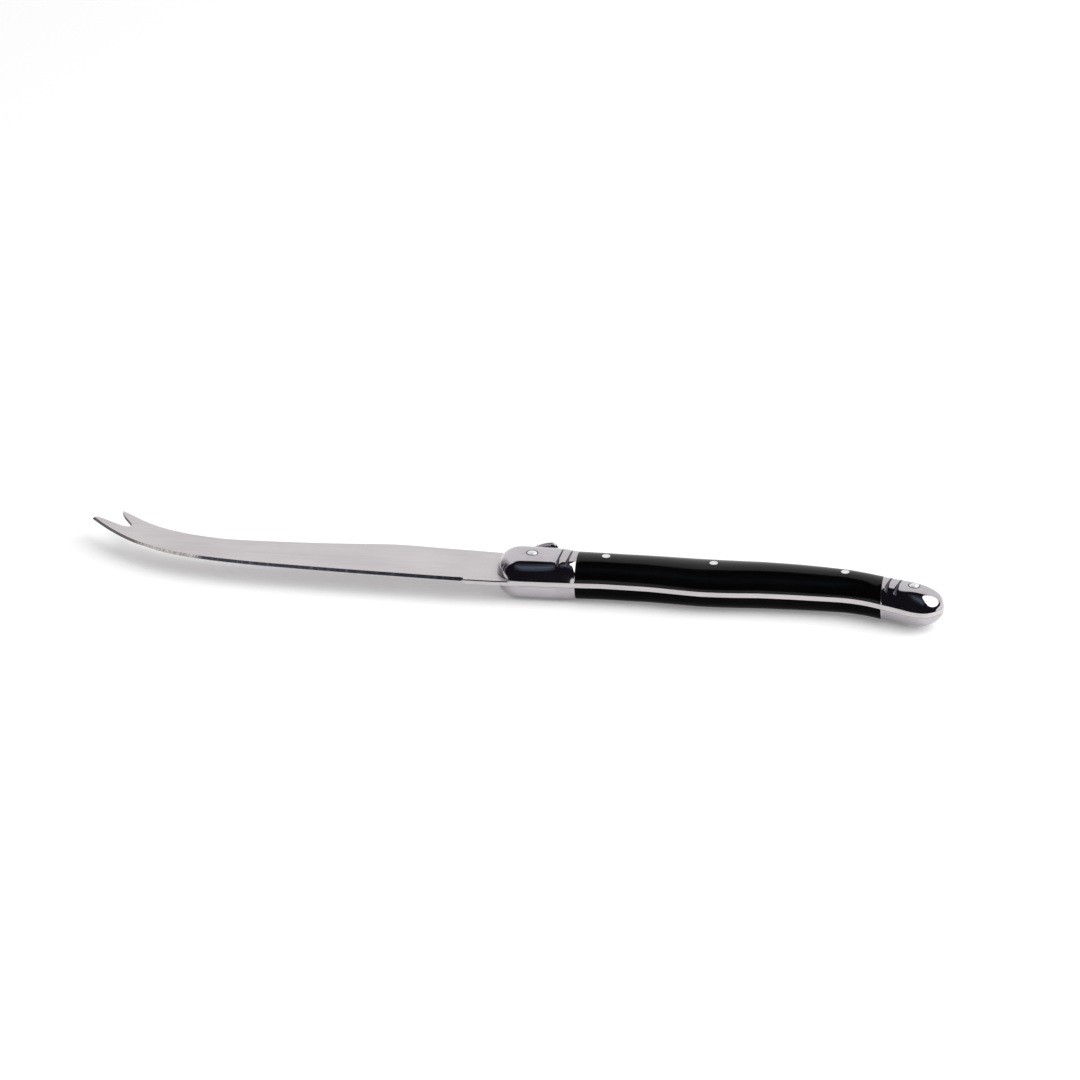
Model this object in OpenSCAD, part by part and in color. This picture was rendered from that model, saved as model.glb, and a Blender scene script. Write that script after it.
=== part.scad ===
// Cheese knife with a forked tip and a full tang, lying on its side.
// X runs from the tip to the butt, Y from the cutting edge to the spine, and Z up.
// The origin is the middle of the flat crest on the underside of the handle.

/* [Blade] */
// Length of the blade from the front bolster to the tip
blade_l = 112; // [90:0.5:130]
// Width of the blade at the front bolster
blade_w = 17; // [15.5:0.5:20]
// Thickness of the steel sheet of the blade and the tang
blade_t = 1.3; // [1.1:0.1:2]
// Thickness of the blade at its tip, which the taper of its faces leaves
tip_t = 0.8; // [0.6:0.05:1]
// Thickness of the blade along the cutting edge where its ground faces start
ground_edge_t = 1.2; // [1:0.05:1.3]
// Width of the ground bevel along the cutting edge
bevel_w = 1.2; // [0.8:0.1:2]
// Thickness left at the cutting edge
edge_t = 0.16; // [0.1:0.02:0.4]
// Length of the plain edge between the front bolster and the bevel
ricasso_l = 8; // [5:0.1:12]
// How far before the bevel the ground faces of the blade start
ground_lead_l = 1; // [0.5:0.1:3]
// Length over which the blade narrows to the tang inside the front bolster
shoulder_l = 6; // [4:0.5:8]
// Radius of the bottom of the notch in the forked tip
notch_r = 0.7; // [0.4:0.1:1.2]

/* [Handle] */
// Length of each scale, from bolster to bolster
scale_l = 81; // [70:0.5:95]
// Length of the front bolster
front_bolster_l = 21.5; // [19:0.5:26]
// Length of the rear bolster
rear_bolster_l = 16.5; // [14:0.5:20]
// Width that the curves of the handle are shares of
handle_w = 15; // [13:0.5:17]
// Thickness of the handle, from flat to flat
handle_t = 12; // [10:0.5:14]
// Length over which the front bolster rounds in, seen from above
nose_w_l = 7.5; // [4:0.5:9]
// Length over which the front bolster rounds down to the blade
nose_t_l = 6; // [3:0.5:8]
// Length over which the butt rounds in, seen from above
butt_w_l = 11; // [8:0.5:14]
// Length over which the butt rounds down to the tang
butt_t_l = 10; // [6:0.5:12]

/* [Bolster grooves] */
// Distance of the first groove from the joint between bolster and scale
groove_setback = 2; // [1:0.1:3]
// Distance from the first groove to the second
groove_pitch = 2.6; // [2:0.1:3.5]
// Radius of the cutter of the grooves
groove_r = 0.5; // [0.3:0.1:0.8]
// Depth of the grooves
groove_depth = 0.25; // [0.1:0.05:0.4]

/* [Rivets and pins] */
// Radius of the two bolster rivets
rivet_r = 1.35; // [1:0.05:1.8]
// Height of the domed head of a rivet above the bolster
rivet_dome_h = 0.4; // [0.2:0.05:0.6]
// Width of the recess round the head of a rivet
rivet_recess_w = 0.3; // [0.15:0.05:0.5]
// Depth of that recess
rivet_recess_depth = 0.3; // [0.1:0.05:0.6]
// Radius of the three scale pins
pin_r = 1.1; // [0.8:0.05:1.4]
// Gap all round a rivet or a pin in its hole
pin_clearance = 0.02; // [0.01:0.005:0.05]
// Distance of the front rivet from the joint between bolster and scale
front_rivet_setback = 12.3; // [8:0.1:14]
// Distance of the rear rivet from the joint between bolster and scale
rear_rivet_setback = 8.5; // [6:0.1:9]
// Distance of the front pin from the front bolster
front_pin_setback = 7.4; // [4:0.1:12]
// Distance of the rear pin from the rear bolster
rear_pin_setback = 10.2; // [4:0.1:16]
// Distance of the middle pin from the middle of the scales, towards the tip
middle_pin_offset = 4.5; // [0:0.1:8]

/* [Spine catch] */
// Length of the raised tab
catch_l = 9; // [7:0.1:10]
// Height of the tab above the spine
catch_h = 3.5; // [3:0.1:4.5]
// Height of the tab at its low end
catch_low_h = 1.5; // [1:0.1:2]
// Width of the tab across the spine at its high end
catch_w = 7.8; // [6:0.2:9]
// Width of the tab at its low end
catch_low_w = 5.4; // [3:0.2:6]
// Distance of the tab's high end from the joint between bolster and scale
catch_setback = 6.6; // [4:0.1:9]
// Radius of the high end, seen from the side of the blade
catch_end_r = 1.8; // [1:0.1:2]
// Radius of the corners of the high end, seen from above the spine
catch_corner_r = 1.4; // [0.8:0.1:2]
// Length of the foot that the bolsters clamp
catch_foot_l = 4; // [3:0.5:5]
// Depth of the foot in the tang
catch_foot_depth = 2; // [1:0.5:3]
// Gap between the tab and the pieces it sits on
catch_clearance = 0.05; // [0.02:0.01:0.1]

/* [Hidden] */

// Places along the handle
front_joint_x = -scale_l / 2;
rear_joint_x = scale_l / 2;
nose_x = front_joint_x - front_bolster_l;
butt_x = rear_joint_x + rear_bolster_l;
handle_l = butt_x - nose_x;
front_rivet_x = front_joint_x - front_rivet_setback;
rear_rivet_x = rear_joint_x + rear_rivet_setback;
front_pin_x = front_joint_x + front_pin_setback;
rear_pin_x = rear_joint_x - rear_pin_setback;
catch_end_x = front_joint_x - catch_setback;

// The middle plane of the steel, above the flat that the knife rests on
mid_z = handle_t / 2;
// One overrun for every cut, and the sliver that closes a rounded end
overrun = 0.5;
end_land = 0.02;

// Belly of the handle: share of its length from the nose, share of its width
belly_shares = [
    [0, -0.54], [0.07, -0.51], [0.16, -0.47], [0.25, -0.42], [0.33, -0.42], [0.41, -0.465],
    [0.46, -0.49], [0.52, -0.465], [0.6, -0.4], [0.68, -0.38], [0.77, -0.375], [0.82, -0.43],
    [0.86, -0.54], [0.9, -0.66], [0.94, -0.8], [0.97, -0.87], [1, -0.87]
];
// Spine of the handle, the same way
spine_shares = [
    [0, 0.48], [0.1, 0.465], [0.19, 0.405], [0.26, 0.405], [0.33, 0.42], [0.48, 0.445], [0.6, 0.455],
    [0.68, 0.445], [0.77, 0.38], [0.82, 0.29], [0.86, 0.2], [0.91, 0.11], [0.96, 0.07], [1, 0.06]
];
// Half of the handle's thickness along it, as a share of the thickness
crest_shares = [[0, 0.47], [0.1, 0.475], [0.17, 0.5], [0.58, 0.5], [0.77, 0.472], [0.86, 0.46], [1, 0.455]];
// How square the cross-section is along the handle: 2 is an ellipse
squareness_shares = [[0, 2.8], [0.12, 2.8], [0.24, 2.3], [0.45, 2.1], [0.7, 2.1], [0.86, 2.4], [1, 2.4]];
// Cutting edge: share of the blade's length from the bolster, share of its width
edge_shares = [
    [0, -0.482], [0.1, -0.49], [0.2, -0.475], [0.34, -0.452], [0.46, -0.422],
    [0.58, -0.38], [0.7, -0.29], [0.78, -0.163], [0.833, -0.013], [0.887, 0.195], [0.93, 0.422],
    [0.96, 0.61], [1, 0.905]
];
// Back of the blade, the same way
back_shares = [
    [0, 0.51], [0.05, 0.527], [0.15, 0.554], [0.25, 0.582], [0.3, 0.558],
    [0.36, 0.516], [0.48, 0.455], [0.6, 0.42], [0.65, 0.416], [0.7, 0.45], [0.75, 0.513],
    [0.8, 0.615], [0.83, 0.702], [0.857, 0.802], [0.885, 0.936], [0.913, 1.09], [0.931, 1.18]
];
// Notch between the two prongs, from the long prong's tip to the short one's
notch_shares = [
    [1.03, 1], [1, 0.955], [0.99, 0.942], [0.975, 0.893], [0.96, 0.829], [0.938, 0.739],
    [0.922, 0.675], [0.906, 0.655], [0.899, 0.73], [0.905, 0.8], [0.925, 1.02], [0.932, 1.13],
    [0.945, 1.4], [1.05, 1.4]
];
notch_bottom_share = [0.906, 0.7];

// How blunt the rounded ends are: 2 is an ellipse
end_bluntness = 2.2;
// How far the cross-section's crest would stand above its flat, as a factor
crown_factor = 1.09;
// Width of the bevel along the blade, as a share of its full width
bevel_shares = [[0, 1], [0.6, 1], [0.75, 0.8], [0.88, 0.5], [1, 0.4]];
// Length over which the bevel's end at the bolster rounds in
bevel_end_l = 0.9;

// How many grooves each bolster half has
groove_count = 2;

// Steps of the swept surfaces and smoothness of the round parts
blade_steps = 36;
bevel_end_steps = 6;
bolster_steps = 14;
scale_steps = 24;
arc_steps = 16;
round_fn = 48;

// Value of a smooth curve through the points of a table, at place s
function rise_of(table, i) = (table[i + 1][1] - table[i][1]) / (table[i + 1][0] - table[i][0]);
function slope_of(table, i) =
    i == 0 ? rise_of(table, 0)
    : i == len(table) - 1 ? rise_of(table, i - 1)
    : let (before = rise_of(table, i - 1), after = rise_of(table, i))
    before * after <= 0 ? 0 : 2 * before * after / (before + after);
function span_of(table, s, i = 0) =
    i >= len(table) - 2 || s < table[i + 1][0] ? i : span_of(table, s, i + 1);
function follow(table, s) =
    let (
        i = span_of(table, s),
        w = table[i + 1][0] - table[i][0],
        u = (s - table[i][0]) / w,
        uu = u * u,
        uuu = uu * u
    )
    (2 * uuu - 3 * uu + 1) * table[i][1] + (3 * uu - 2 * uuu) * table[i + 1][1]
    + (uuu - 2 * uu + u) * w * slope_of(table, i) + (uuu - uu) * w * slope_of(table, i + 1);

// Handle surface at place x
function share_at(x) = (x - nose_x) / handle_l;
function belly_y(x) = handle_w * follow(belly_shares, share_at(x));
function spine_y(x) = handle_w * follow(spine_shares, share_at(x));
function centre_y(x) = (belly_y(x) + spine_y(x)) / 2;
function crest_z(x) = handle_t * follow(crest_shares, share_at(x));
function squareness(x) = follow(squareness_shares, share_at(x));
function rounded(d, l) = d >= l ? 1 : pow(1 - pow(1 - max(d, 0) / l, end_bluntness), 1 / end_bluntness);
function tang_half_w(x) = (spine_y(x) - belly_y(x)) / 2 * rounded(butt_x - x, butt_w_l);
function half_w(x) = tang_half_w(x) * rounded(x - nose_x, nose_w_l);
function shell_t(x) =
    (crest_z(x) - blade_t / 2) * rounded(x - nose_x, nose_t_l) * rounded(butt_x - x, butt_t_l);

// Points of one half of the cross-section at place x, from the spine over the crest to the belly
function squared(v, n) = sign(v) * pow(abs(v), 2 / n);
function half_section(x, grow) = [
    for (j = [0:arc_steps])
    let (angle = 180 * j / arc_steps, n = squareness(x))
    [
        x,
        centre_y(x) + (half_w(x) + grow) * squared(cos(angle), n),
        blade_t / 2 + shell_t(x) * min(1, crown_factor * squared(sin(angle), n))
    ]
];

// Places of the rings of a shell, closer together where its end is rounded
function even_steps(from_x, to_x, steps) = [for (k = [0:steps]) from_x + (to_x - from_x) * k / steps];
function nose_steps(from_x, to_x, steps) = [
    for (k = [0:steps]) from_x + (to_x - from_x) * (1 - cos(90 * k / steps))
];
function butt_steps(from_x, to_x, steps) = [
    for (k = [0:steps]) from_x + (to_x - from_x) * sin(90 * k / steps)
];

// Blade outline at share s
function blade_x(s) = nose_x - blade_l * s;
function edge_point(s) = [blade_x(s), blade_w * follow(edge_shares, s)];
function back_point(s) = [blade_x(s), blade_w * follow(back_shares, s)];
function shares_between(a, b, steps) = [for (k = [0:steps]) a + (b - a) * k / steps];
back_tip_share = back_shares[len(back_shares) - 1][0];

// Places along the cutting edge that the outline and the bevel share
bevel_start_share = ricasso_l / blade_l;
bevel_end_share = bevel_end_l / blade_l;
bevel_places = concat(
    [
        for (k = [0:bevel_end_steps])
        bevel_start_share + bevel_end_share * (1 - cos(90 * k / bevel_end_steps))
    ],
    shares_between(bevel_start_share + 2 * bevel_end_share, 1, blade_steps)
);

// Ground faces of the blade: their fall along the blade and across it, and their height at a point
ground_x = nose_x - ricasso_l + ground_lead_l;
ground_fall_x = (blade_t - tip_t) / 2 / (blade_l - ricasso_l + ground_lead_l);
ground_fall_y = (blade_t - ground_edge_t) / 2 / blade_w;
function ground_z(p) =
    blade_t / 2 - ground_fall_x * (ground_x - p[0]) - ground_fall_y * (blade_w / 2 - p[1]);

// Solid between rings of points that all have the same count
module sweep(rings) {
    count = len(rings[0]);
    last = len(rings) - 1;
    sides = [
        for (k = [0:last - 1], j = [0:count - 1])
        let (
            a = k * count + j,
            b = k * count + (j + 1) % count,
            c = a + count,
            d = b + count
        )
        each [[a, d, b], [a, c, d]]
    ];
    polyhedron(
        points = [for (ring = rings) each ring],
        faces = concat(
            sides,
            [[for (j = [0:count - 1]) j]],
            [[for (j = [count - 1:-1:0]) last * count + j]]
        ),
        convexity = 4
    );
}

// Half of the handle above the tang, between two places along it
module handle_shell(places, grow = 0) {
    sweep([for (x = places) half_section(x, grow)]);
}

// Round hole through the whole handle at place x, for a rivet or a pin
module pin_hole(x, r) {
    translate([x, centre_y(x), -handle_t])
        cylinder(h = 2 * handle_t, r = r + pin_clearance, $fn = round_fn);
}

// Recess round the head of a rivet
module rivet_recess(x) {
    translate([x, centre_y(x), crest_z(x) - rivet_recess_depth])
        cylinder(h = rivet_recess_depth + overrun, r = rivet_r + rivet_recess_w, $fn = round_fn);
}

// Two grooves across the crest, whose near ends fade out as the side curves down
module crest_grooves(joint_x, away) {
    for (i = [0:groove_count - 1]) {
        x = joint_x + away * (groove_setback + i * groove_pitch);
        translate([x, spine_y(x) + overrun, crest_z(x) + groove_r - groove_depth])
            rotate([90, 0, 0])
            cylinder(h = spine_y(x) - belly_y(x), r = groove_r, $fn = round_fn);
    }
}

// Notch in the spine that holds the foot of the catch
module catch_foot(gap) {
    x = catch_end_x - catch_l / 2;
    translate([
        x - catch_foot_l / 2 - gap,
        spine_y(x) - catch_foot_depth - gap,
        -blade_t / 2
    ])
        cube([catch_foot_l + 2 * gap, catch_foot_depth + catch_h / 2, blade_t]);
}

// Outline of the whole sheet: the blade with its forked tip, and the tang, flush with the handle's sides
module steel_outline() {
    places = concat(
        even_steps(nose_x + shoulder_l, rear_joint_x, blade_steps),
        butt_steps(rear_joint_x + end_land, butt_x - end_land, bolster_steps)
    );
    last = len(places) - 1;
    difference() {
        polygon(concat(
            [for (s = concat([0], bevel_places)) edge_point(s)],
            [for (s = shares_between(back_tip_share, 0, blade_steps)) back_point(s)],
            [for (x = places) [x, centre_y(x) + tang_half_w(x)]],
            [for (k = [last:-1:0]) [places[k], centre_y(places[k]) - tang_half_w(places[k])]]
        ));
        polygon([for (p = notch_shares) [blade_x(p[0]), blade_w * p[1]]]);
        translate([blade_x(notch_bottom_share[0]), blade_w * notch_bottom_share[1]])
            circle(r = notch_r, $fn = round_fn);
    }
}

// Block that grinds one face of the blade, from the plain part to the tip
module face_cutter() {
    translate([ground_x, blade_w / 2, blade_t / 2])
        rotate([atan(ground_fall_y), -atan(ground_fall_x), 0])
        translate([-blade_l, -2 * blade_w, 0])
        cube([blade_l, 4 * blade_w, blade_t]);
}

// Wedge that grinds one side of the bevel, swept along the cutting edge
module bevel_cutter() {
    // How far the bevel's rounded end still lies outside the edge at share s
    function outside_at(s) =
        let (u = min(1, (s - bevel_start_share) / bevel_end_share))
        (bevel_w + edge_t) * (1 - sqrt(1 - pow(1 - u, 2)));
    function inward(s) =
        let (d = edge_point(s) - edge_point(s - bevel_end_share), n = norm(d))
        [d[1] / n, -d[0] / n];
    function ring(s) =
        let (
            e = edge_point(s) - inward(s) * outside_at(s),
            w = bevel_w * follow(bevel_shares, s),
            slope = (ground_z(e + inward(s) * w) - edge_t / 2) / w,
            outer = e - inward(s) * w,
            inner = e + inward(s) * 2 * w,
            top_z = edge_t / 2 + slope * 2 * w
        )
        [
            [outer[0], outer[1], edge_t / 2 - slope * w],
            [outer[0], outer[1], top_z],
            [inner[0], inner[1], top_z],
            [e[0], e[1], edge_t / 2]
        ];
    sweep([for (s = concat(bevel_places, [1 + bevel_end_share])) ring(s)]);
}

module blade() {
    color([0.8, 0.79, 0.79])
        translate([0, 0, mid_z])
        difference() {
            translate([0, 0, -blade_t / 2])
                linear_extrude(height = blade_t)
                steel_outline();
            for (side = [0, 1])
                mirror([0, 0, side]) {
                    face_cutter();
                    bevel_cutter();
                }
            pin_hole(front_rivet_x, rivet_r);
            pin_hole(rear_rivet_x, rivet_r);
            pin_hole(front_pin_x, pin_r);
            pin_hole(-middle_pin_offset, pin_r);
            pin_hole(rear_pin_x, pin_r);
            catch_foot(catch_clearance);
        }
}

// Front bolster half, above the tang
module front_bolster_half() {
    difference() {
        handle_shell(nose_steps(nose_x + end_land, front_joint_x, bolster_steps));
        pin_hole(front_rivet_x, rivet_r);
        rivet_recess(front_rivet_x);
        crest_grooves(front_joint_x, -1);
    }
}

// Rear bolster half, above the tang
module rear_bolster_half() {
    difference() {
        handle_shell(butt_steps(rear_joint_x, butt_x - end_land, bolster_steps));
        pin_hole(rear_rivet_x, rivet_r);
        rivet_recess(rear_rivet_x);
        crest_grooves(rear_joint_x, 1);
    }
}

// Scale, above the tang
module scale_half() {
    difference() {
        handle_shell(even_steps(front_joint_x, rear_joint_x, scale_steps));
        pin_hole(front_pin_x, pin_r);
        pin_hole(-middle_pin_offset, pin_r);
        pin_hole(rear_pin_x, pin_r);
    }
}

// Lays a half of the handle on the upper or the lower face of the tang
module on_upper_side() {
    translate([0, 0, mid_z])
        children();
}

module on_lower_side() {
    translate([0, 0, mid_z])
        mirror([0, 0, 1])
        children();
}

module front_bolster_upper() {
    color([0.74, 0.73, 0.75])
        on_upper_side()
        front_bolster_half();
}

module front_bolster_lower() {
    color([0.7, 0.69, 0.71])
        on_lower_side()
        front_bolster_half();
}

module rear_bolster_upper() {
    color([0.74, 0.73, 0.75])
        on_upper_side()
        rear_bolster_half();
}

module rear_bolster_lower() {
    color([0.7, 0.69, 0.71])
        on_lower_side()
        rear_bolster_half();
}

module scale_upper() {
    color([0.06, 0.06, 0.07])
        on_upper_side()
        scale_half();
}

module scale_lower() {
    color([0.04, 0.04, 0.05])
        on_lower_side()
        scale_half();
}

// Rivet with a low dome on the upper face and a flat end on the lower one
module rivet(x) {
    dome_r = (rivet_r * rivet_r + rivet_dome_h * rivet_dome_h) / (2 * rivet_dome_h);
    color([0.86, 0.87, 0.88])
        translate([x, centre_y(x), mid_z]) {
            translate([0, 0, -crest_z(x)])
                cylinder(h = 2 * crest_z(x) - rivet_recess_depth / 2, r = rivet_r, $fn = round_fn);
            translate([0, 0, crest_z(x)])
                intersection() {
                    translate([0, 0, -rivet_recess_depth])
                        cylinder(h = rivet_dome_h + rivet_recess_depth, r = rivet_r, $fn = round_fn);
                    translate([0, 0, rivet_dome_h - dome_r])
                        sphere(r = dome_r, $fn = round_fn);
                }
        }
}

// Pin that ends flush with the crests of both scales
module scale_pin(x) {
    color([0.86, 0.87, 0.88])
        translate([x, centre_y(x), mid_z - crest_z(x)])
        cylinder(h = 2 * crest_z(x), r = pin_r, $fn = round_fn);
}

module front_rivet() {
    rivet(front_rivet_x);
}

module rear_rivet() {
    rivet(rear_rivet_x);
}

module scale_pin_front() {
    scale_pin(front_pin_x);
}

module scale_pin_middle() {
    scale_pin(-middle_pin_offset);
}

module scale_pin_rear() {
    scale_pin(rear_pin_x);
}

// Raised tab on the spine: a ramp that widens towards its round high end, seen from above the spine
module catch_outline() {
    low_x = catch_end_x - catch_l;
    corner = [catch_end_x - catch_corner_r, catch_w / 2 - catch_corner_r];
    for (side = [-1, 1])
        translate([corner[0], side * corner[1]])
            circle(r = catch_corner_r, $fn = round_fn);
    polygon([
        [low_x, -catch_low_w / 2],
        [corner[0], -catch_w / 2],
        [corner[0], -corner[1]],
        [catch_end_x, -corner[1]],
        [catch_end_x, corner[1]],
        [corner[0], corner[1]],
        [corner[0], catch_w / 2],
        [low_x, catch_low_w / 2]
    ]);
}

// The same tab, seen from the side of the blade
module catch_profile() {
    low_x = catch_end_x - catch_l;
    base_y = spine_y(catch_end_x);
    knob = [catch_end_x - catch_end_r, base_y + catch_h - catch_end_r];
    polygon([
        [low_x, base_y - catch_end_r],
        [low_x, base_y + catch_low_h],
        [knob[0], knob[1] + catch_end_r],
        knob,
        [catch_end_x, knob[1]],
        [catch_end_x, base_y - catch_end_r]
    ]);
    translate(knob)
        circle(r = catch_end_r, $fn = round_fn);
}

// Both halves of the handle under the tab, with the tab's clearance
module catch_seat() {
    places = even_steps(catch_end_x - catch_l - overrun, catch_end_x + overrun, bolster_steps);
    for (side = [0, 1])
        mirror([0, 0, side])
            handle_shell(places, catch_clearance);
    translate([0, 0, -blade_t / 2])
        linear_extrude(height = blade_t)
        polygon(concat(
            [for (x = places) [x, spine_y(x) + catch_clearance]],
            [for (k = [len(places) - 1:-1:0]) [places[k], belly_y(places[k])]]
        ));
}

module spine_catch() {
    color([0.6, 0.6, 0.62])
        translate([0, 0, mid_z]) {
            difference() {
                intersection() {
                    translate([0, 0, -catch_w / 2])
                        linear_extrude(height = catch_w)
                        catch_profile();
                    translate([0, spine_y(catch_end_x) + catch_h + overrun, 0])
                        rotate([90, 0, 0])
                        linear_extrude(height = 2 * catch_h + overrun)
                        catch_outline();
                }
                catch_seat();
            }
            catch_foot(0);
        }
}

blade();
front_bolster_upper();
front_bolster_lower();
scale_upper();
scale_lower();
rear_bolster_upper();
rear_bolster_lower();
front_rivet();
rear_rivet();
scale_pin_front();
scale_pin_middle();
scale_pin_rear();
spine_catch();
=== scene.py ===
"""Looks of the cheese knife: forked blade, full tang, steel bolsters, black scales, pins and a tab."""

import logging
import math
from dataclasses import dataclass
from enum import Enum
from typing import Callable

import bmesh
import bpy
from bpy.types import Material, Node, NodeSocket, NodeTree, Object
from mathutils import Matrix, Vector

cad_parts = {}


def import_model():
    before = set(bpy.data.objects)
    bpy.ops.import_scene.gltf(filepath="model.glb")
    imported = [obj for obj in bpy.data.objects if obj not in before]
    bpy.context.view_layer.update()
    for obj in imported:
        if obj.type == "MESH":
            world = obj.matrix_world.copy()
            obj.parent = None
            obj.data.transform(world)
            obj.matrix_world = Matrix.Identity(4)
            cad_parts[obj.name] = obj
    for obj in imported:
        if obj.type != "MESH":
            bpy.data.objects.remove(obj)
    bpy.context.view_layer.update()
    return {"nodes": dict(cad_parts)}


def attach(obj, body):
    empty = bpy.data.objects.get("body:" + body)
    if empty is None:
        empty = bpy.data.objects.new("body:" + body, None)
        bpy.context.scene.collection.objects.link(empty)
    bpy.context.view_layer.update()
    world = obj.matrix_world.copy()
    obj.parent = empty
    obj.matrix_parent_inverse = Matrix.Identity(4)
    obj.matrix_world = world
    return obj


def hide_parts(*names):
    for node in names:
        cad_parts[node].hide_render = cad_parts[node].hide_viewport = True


logging.basicConfig(level=logging.INFO, format="%(message)s")
LOG = logging.getLogger("cheese_knife")
MM = 0.001
MERGE = 4e-6  # metres within which the doubles of a finished piece merge
FINE = 5e-7  # metres within which the places of one section lie
HAIR = 1e-6  # metres that a rim may miss its end face by
OVERRUN = 1.0  # millimetres that a drill stands out of what it drills
END_LIFT = 0.01  # millimetres above the seat where a rim starts
END_SEGMENTS = 4  # steps of a rim's round
ROUND = 0.5  # a bevel's profile that makes a quarter of a circle
WHITE = (1.0, 1.0, 1.0)


class Side(Enum):
    """The face of the tang that a half of the handle lies on."""

    UPPER = 1
    LOWER = -1


class Slot(Enum):
    """Material slots of the record."""

    BLADE = "blade_steel"
    BOLSTER = "bolster_steel"
    SCALE = "scale_black"
    PIN = "pin_steel"


class End(Enum):
    """The end of the handle that a bolster closes."""

    NOSE = 1
    BUTT = -1


class Join(Enum):
    """What a second solid does to a piece."""

    CUT = "DIFFERENCE"
    ADD = "UNION"


class Value:
    """A socket of a shader graph, or a number, that takes part in Python expressions."""

    def __init__(self, graph: "Graph", socket: NodeSocket) -> None:
        """Keeps the graph and the socket."""
        self.graph = graph
        self.socket = socket

    def _math(self, operation: str, *values: "Value | float") -> "Value":
        """Result of one Math node with these inputs."""
        node = self.graph.add("ShaderNodeMath", {"operation": operation}, dict(enumerate(values)))
        return Value(self.graph, node.outputs[0])

    def __add__(self, other: "Value | float") -> "Value":
        """Sum."""
        return self._math("ADD", self, other)

    def __radd__(self, other: float) -> "Value":
        """Sum with a number first."""
        return self._math("ADD", other, self)

    def __sub__(self, other: "Value | float") -> "Value":
        """Difference."""
        return self._math("SUBTRACT", self, other)

    def __rsub__(self, other: float) -> "Value":
        """Difference with a number first."""
        return self._math("SUBTRACT", other, self)

    def __mul__(self, other: "Value | float") -> "Value":
        """Product."""
        return self._math("MULTIPLY", self, other)

    def __rmul__(self, other: float) -> "Value":
        """Product with a number first."""
        return self._math("MULTIPLY", other, self)

    def absolute(self) -> "Value":
        """The value without its sign."""
        return self._math("ABSOLUTE", self)

    def step(self, low: float, high: float) -> "Value":
        """Smooth step over this value.

        Args:
            low: Where it is still 0.
            high: Where it is 1 from.

        Returns:
            The step.
        """
        inputs = {"Value": self, "From Min": low, "From Max": high}
        node = self.graph.add("ShaderNodeMapRange", {"interpolation_type": "SMOOTHSTEP"}, inputs)
        return Value(self.graph, node.outputs[0])


class Graph:
    """Makes the nodes of one material or world."""

    def __init__(self, tree: NodeTree) -> None:
        """Empties the tree and keeps it."""
        self.tree = tree
        tree.nodes.clear()

    def add(self, kind: str, settings: dict, inputs: dict) -> Node:
        """Adds any node.

        Args:
            kind: The node's type.
            settings: Attributes that are set first.
            inputs: Values or links of its sockets, by name or number.

        Returns:
            The new node.
        """
        node = self.tree.nodes.new(kind)
        for name, setting in settings.items():
            setattr(node, name, setting)
        for key, entry in inputs.items():
            if isinstance(entry, Value):
                self.tree.links.new(entry.socket, node.inputs[key])
            elif isinstance(entry, NodeSocket):
                self.tree.links.new(entry, node.inputs[key])
            else:
                node.inputs[key].default_value = entry
        return node

    def place(self) -> NodeSocket:
        """Object coordinates, in metres in the frame of the part."""
        return self.add("ShaderNodeTexCoord", {}, {}).outputs["Object"]

    def scaled(self, vector: NodeSocket, scale: tuple) -> NodeSocket:
        """A vector stretched by a factor for each axis."""
        node = self.add("ShaderNodeVectorMath", {"operation": "MULTIPLY"}, {0: vector, 1: scale})
        return node.outputs[0]

    def noise(self, vector: NodeSocket, scale: float, detail: float) -> Value:
        """Noise between 0 and 1, with so many cells per metre and so many finer layers."""
        node = self.add("ShaderNodeTexNoise", {}, {"Vector": vector, "Scale": scale, "Detail": detail})
        return Value(self, node.outputs[0])

    def part(self, vector: NodeSocket, axis: str) -> Value:
        """One coordinate of a vector, by the letter of its axis."""
        return Value(self, self.add("ShaderNodeSeparateXYZ", {}, {0: vector}).outputs[axis])

    def blend(self, factor: Value, first: tuple, second: tuple) -> NodeSocket:
        """Mixes two colours.

        Args:
            factor: Share of the second colour.
            first: Colour, or the socket of one, at 0.
            second: Colour, or the socket of one, at 1.

        Returns:
            The mixed colour.
        """
        colours = {6: first, 7: second}  # the node's two sockets for colours
        entries = {k: (*v, 1) if isinstance(v, tuple) else v for k, v in colours.items()}
        return self.add("ShaderNodeMix", {"data_type": "RGBA"}, {0: factor, **entries}).outputs[2]

    def bump(self, height: Value, distance: float, strength: float) -> NodeSocket:
        """Normal bent by a height between 0 and 1, of so many metres at 1."""
        inputs = {"Height": height, "Distance": distance, "Strength": strength}
        return self.add("ShaderNodeBump", {}, inputs).outputs[0]


class Finish:
    """A procedural material, made once for a piece."""

    name: str

    def make(self) -> Material:
        """Makes the material.

        Returns:
            The new material.
        """
        material = bpy.data.materials.new(self.name)
        material.use_nodes = True
        graph = Graph(material.node_tree)
        shader = self.shade(graph)
        graph.add("ShaderNodeOutputMaterial", {}, {"Surface": shader.outputs[0]})
        return material

    def shade(self, graph: Graph) -> Node:
        """Builds the shader of the material, in its own graph."""
        raise NotImplementedError

    @staticmethod
    def principled(graph: Graph, inputs: dict) -> Node:
        """The shader of every solid finish, with these inputs."""
        return graph.add("ShaderNodeBsdfPrincipled", {}, inputs)

    @staticmethod
    def uneven(noise: Value, least: float, swing: float) -> Value:
        """Roughness that a noise raises from its least value."""
        return noise * swing + least

    def dress(self, piece: Object) -> None:
        """Puts the material on a piece or a CAD node."""
        piece.data.materials.clear()
        piece.data.materials.append(self.make())


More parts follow.
